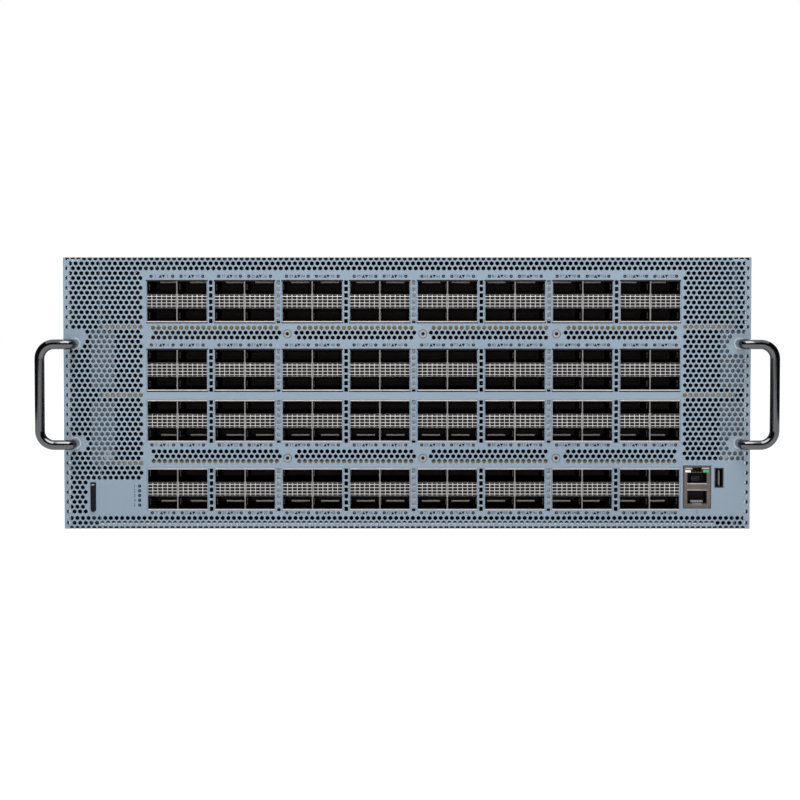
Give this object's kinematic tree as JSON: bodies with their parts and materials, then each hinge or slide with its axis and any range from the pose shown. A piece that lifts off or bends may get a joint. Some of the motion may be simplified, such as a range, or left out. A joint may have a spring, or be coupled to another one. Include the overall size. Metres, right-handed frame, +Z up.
{
  "type": "rack network switch",
  "caption": "Tall rack network switch: perforated steel front with a grid of stacked transceiver cages, bow handles, and plug-in fans and power supplies at the rear.",
  "frame": {"origin": "middle of the chassis underside", "axes": "+Z up; the port side faces -Y and the fans and power supplies face +Y; +X is the right hand of someone who looks at the ports"},
  "size_m": [0.4718, 0.6649, 0.174],
  "materials": {
    "panel_paint": "satin powder coat",
    "zinc_steel": "zinc plated",
    "bracket_steel": "zinc plated",
    "cage_nickel": "nickel plated",
    "jack_shield": "tin plated",
    "chrome": "polished",
    "board": "bare laminate",
    "chip_black": "matte",
    "sink_aluminium": "mill",
    "black_plastic": "satin",
    "rotor_plastic": "satin",
    "latch_plastic": "satin",
    "supply_steel": "zinc plated"
  },
  "bodies": {
    "chassis": {"chassis_tray": "zinc_steel", "top_cover": "zinc_steel", "front_panel": "panel_paint", "front_handles": "chrome", "upper_port_board": "board", "main_board": "board", "lower_port_board": "board", "network_jacks": "jack_shield", "bus_socket": "cage_nickel", "tag_guide": "black_plastic", "left_bracket": "bracket_steel", "right_bracket": "bracket_steel", "board_posts": "bracket_steel", "switch_chip": "chip_black", "heat_sink": "sink_aluminium", "bay_walls": "zinc_steel", "psu_backplane": "board", "fan_board": "board", "cages_row_1": "cage_nickel", "cages_row_2": "cage_nickel", "cages_row_3": "cage_nickel", "cages_row_4": "cage_nickel"},
    "tag": {"asset_tag": "black_plastic"},
    "supply_1": {"psu_case_1": "supply_steel", "psu_pull_1": "black_plastic"},
    "supply_latch_1": {"psu_latch_1": "latch_plastic"},
    "supply_2": {"psu_case_2": "supply_steel", "psu_pull_2": "black_plastic"},
    "supply_latch_2": {"psu_latch_2": "latch_plastic"},
    "supply_3": {"psu_case_3": "supply_steel", "psu_pull_3": "black_plastic"},
    "supply_latch_3": {"psu_latch_3": "latch_plastic"},
    "supply_4": {"psu_case_4": "supply_steel", "psu_pull_4": "black_plastic"},
    "supply_latch_4": {"psu_latch_4": "latch_plastic"},
    "fan_1": {"fan_frame_1": "black_plastic"},
    "fan_rotor_1": {"fan_rotor_1": "rotor_plastic"},
    "fan_latch_1": {"fan_latch_1": "latch_plastic"},
    "fan_2": {"fan_frame_2": "black_plastic"},
    "fan_rotor_2": {"fan_rotor_2": "rotor_plastic"},
    "fan_latch_2": {"fan_latch_2": "latch_plastic"},
    "fan_3": {"fan_frame_3": "black_plastic"},
    "fan_rotor_3": {"fan_rotor_3": "rotor_plastic"},
    "fan_latch_3": {"fan_latch_3": "latch_plastic"},
    "fan_4": {"fan_frame_4": "black_plastic"},
    "fan_rotor_4": {"fan_rotor_4": "rotor_plastic"},
    "fan_latch_4": {"fan_latch_4": "latch_plastic"},
    "fan_5": {"fan_frame_5": "black_plastic"},
    "fan_rotor_5": {"fan_rotor_5": "rotor_plastic"},
    "fan_latch_5": {"fan_latch_5": "latch_plastic"},
    "fan_6": {"fan_frame_6": "black_plastic"},
    "fan_rotor_6": {"fan_rotor_6": "rotor_plastic"},
    "fan_latch_6": {"fan_latch_6": "latch_plastic"},
    "fan_7": {"fan_frame_7": "black_plastic"},
    "fan_rotor_7": {"fan_rotor_7": "rotor_plastic"},
    "fan_latch_7": {"fan_latch_7": "latch_plastic"},
    "fan_8": {"fan_frame_8": "black_plastic"},
    "fan_rotor_8": {"fan_rotor_8": "rotor_plastic"},
    "fan_latch_8": {"fan_latch_8": "latch_plastic"}
  },
  "joints": [
    {"name": "tag_slide", "type": "slide", "parent": "chassis", "child": "tag", "axis": [0, -1, 0], "range_m": [0, 0.045]},
    {"name": "supply_1_slide", "type": "slide", "parent": "chassis", "child": "supply_1", "axis": [0, 1, 0], "range_m": [0, 0.16]},
    {"name": "supply_1_latch", "type": "hinge", "parent": "supply_1", "child": "supply_latch_1", "pos_m": [-0.149, 0.314, 0.0214], "axis": [0, 0, 1], "range_deg": [0, 12], "stiffness_Nm_per_rad": 0.4},
    {"name": "supply_2_slide", "type": "slide", "parent": "chassis", "child": "supply_2", "axis": [0, 1, 0], "range_m": [0, 0.16]},
    {"name": "supply_2_latch", "type": "hinge", "parent": "supply_2", "child": "supply_latch_2", "pos_m": [-0.149, 0.314, 0.0643], "axis": [0, 0, 1], "range_deg": [0, 12], "stiffness_Nm_per_rad": 0.4},
    {"name": "supply_3_slide", "type": "slide", "parent": "chassis", "child": "supply_3", "axis": [0, 1, 0], "range_m": [0, 0.16]},
    {"name": "supply_3_latch", "type": "hinge", "parent": "supply_3", "child": "supply_latch_3", "pos_m": [-0.149, 0.314, 0.1072], "axis": [0, 0, 1], "range_deg": [0, 12], "stiffness_Nm_per_rad": 0.4},
    {"name": "supply_4_slide", "type": "slide", "parent": "chassis", "child": "supply_4", "axis": [0, 1, 0], "range_m": [0, 0.16]},
    {"name": "supply_4_latch", "type": "hinge", "parent": "supply_4", "child": "supply_latch_4", "pos_m": [-0.149, 0.314, 0.1501], "axis": [0, 0, 1], "range_deg": [0, 12], "stiffness_Nm_per_rad": 0.4},
    {"name": "fan_1_slide", "type": "slide", "parent": "chassis", "child": "fan_1", "axis": [0, 1, 0], "range_m": [0, 0.05]},
    {"name": "fan_1_spin", "type": "hinge", "parent": "fan_1", "child": "fan_rotor_1", "pos_m": [-0.09831, 0.28, 0.0433], "axis": [0, 1, 0], "continuous": true},
    {"name": "fan_1_latch", "type": "hinge", "parent": "fan_1", "child": "fan_latch_1", "pos_m": [-0.1384, 0.314, 0.0719], "axis": [0, 0, -1], "range_deg": [0, 12], "stiffness_Nm_per_rad": 0.3},
    {"name": "fan_2_slide", "type": "slide", "parent": "chassis", "child": "fan_2", "axis": [0, 1, 0], "range_m": [0, 0.05]},
    {"name": "fan_2_spin", "type": "hinge", "parent": "fan_2", "child": "fan_rotor_2", "pos_m": [-0.00754, 0.28, 0.0433], "axis": [0, 1, 0], "continuous": true},
    {"name": "fan_2_latch", "type": "hinge", "parent": "fan_2", "child": "fan_latch_2", "pos_m": [-0.04763, 0.314, 0.0719], "axis": [0, 0, -1], "range_deg": [0, 12], "stiffness_Nm_per_rad": 0.3},
    {"name": "fan_3_slide", "type": "slide", "parent": "chassis", "child": "fan_3", "axis": [0, 1, 0], "range_m": [0, 0.05]},
    {"name": "fan_3_spin", "type": "hinge", "parent": "fan_3", "child": "fan_rotor_3", "pos_m": [0.08324, 0.28, 0.0433], "axis": [0, 1, 0], "continuous": true},
    {"name": "fan_3_latch", "type": "hinge", "parent": "fan_3", "child": "fan_latch_3", "pos_m": [0.04315, 0.314, 0.0719], "axis": [0, 0, -1], "range_deg": [0, 12], "stiffness_Nm_per_rad": 0.3},
    {"name": "fan_4_slide", "type": "slide", "parent": "chassis", "child": "fan_4", "axis": [0, 1, 0], "range_m": [0, 0.05]},
    {"name": "fan_4_spin", "type": "hinge", "parent": "fan_4", "child": "fan_rotor_4", "pos_m": [0.17401, 0.28, 0.0433], "axis": [0, 1, 0], "continuous": true},
    {"name": "fan_4_latch", "type": "hinge", "parent": "fan_4", "child": "fan_latch_4", "pos_m": [0.13393, 0.314, 0.0719], "axis": [0, 0, -1], "range_deg": [0, 12], "stiffness_Nm_per_rad": 0.3},
    {"name": "fan_5_slide", "type": "slide", "parent": "chassis", "child": "fan_5", "axis": [0, 1, 0], "range_m": [0, 0.05]},
    {"name": "fan_5_spin", "type": "hinge", "parent": "fan_5", "child": "fan_rotor_5", "pos_m": [-0.09831, 0.28, 0.1291], "axis": [0, 1, 0], "continuous": true},
    {"name": "fan_5_latch", "type": "hinge", "parent": "fan_5", "child": "fan_latch_5", "pos_m": [-0.1384, 0.314, 0.1577], "axis": [0, 0, -1], "range_deg": [0, 12], "stiffness_Nm_per_rad": 0.3},
    {"name": "fan_6_slide", "type": "slide", "parent": "chassis", "child": "fan_6", "axis": [0, 1, 0], "range_m": [0, 0.05]},
    {"name": "fan_6_spin", "type": "hinge", "parent": "fan_6", "child": "fan_rotor_6", "pos_m": [-0.00754, 0.28, 0.1291], "axis": [0, 1, 0], "continuous": true},
    {"name": "fan_6_latch", "type": "hinge", "parent": "fan_6", "child": "fan_latch_6", "pos_m": [-0.04763, 0.314, 0.1577], "axis": [0, 0, -1], "range_deg": [0, 12], "stiffness_Nm_per_rad": 0.3},
    {"name": "fan_7_slide", "type": "slide", "parent": "chassis", "child": "fan_7", "axis": [0, 1, 0], "range_m": [0, 0.05]},
    {"name": "fan_7_spin", "type": "hinge", "parent": "fan_7", "child": "fan_rotor_7", "pos_m": [0.08324, 0.28, 0.1291], "axis": [0, 1, 0], "continuous": true},
    {"name": "fan_7_latch", "type": "hinge", "parent": "fan_7", "child": "fan_latch_7", "pos_m": [0.04315, 0.314, 0.1577], "axis": [0, 0, -1], "range_deg": [0, 12], "stiffness_Nm_per_rad": 0.3},
    {"name": "fan_8_slide", "type": "slide", "parent": "chassis", "child": "fan_8", "axis": [0, 1, 0], "range_m": [0, 0.05]},
    {"name": "fan_8_spin", "type": "hinge", "parent": "fan_8", "child": "fan_rotor_8", "pos_m": [0.17401, 0.28, 0.1291], "axis": [0, 1, 0], "continuous": true},
    {"name": "fan_8_latch", "type": "hinge", "parent": "fan_8", "child": "fan_latch_8", "pos_m": [0.13393, 0.314, 0.1577], "axis": [0, 0, -1], "range_deg": [0, 12], "stiffness_Nm_per_rad": 0.3}
  ]
}
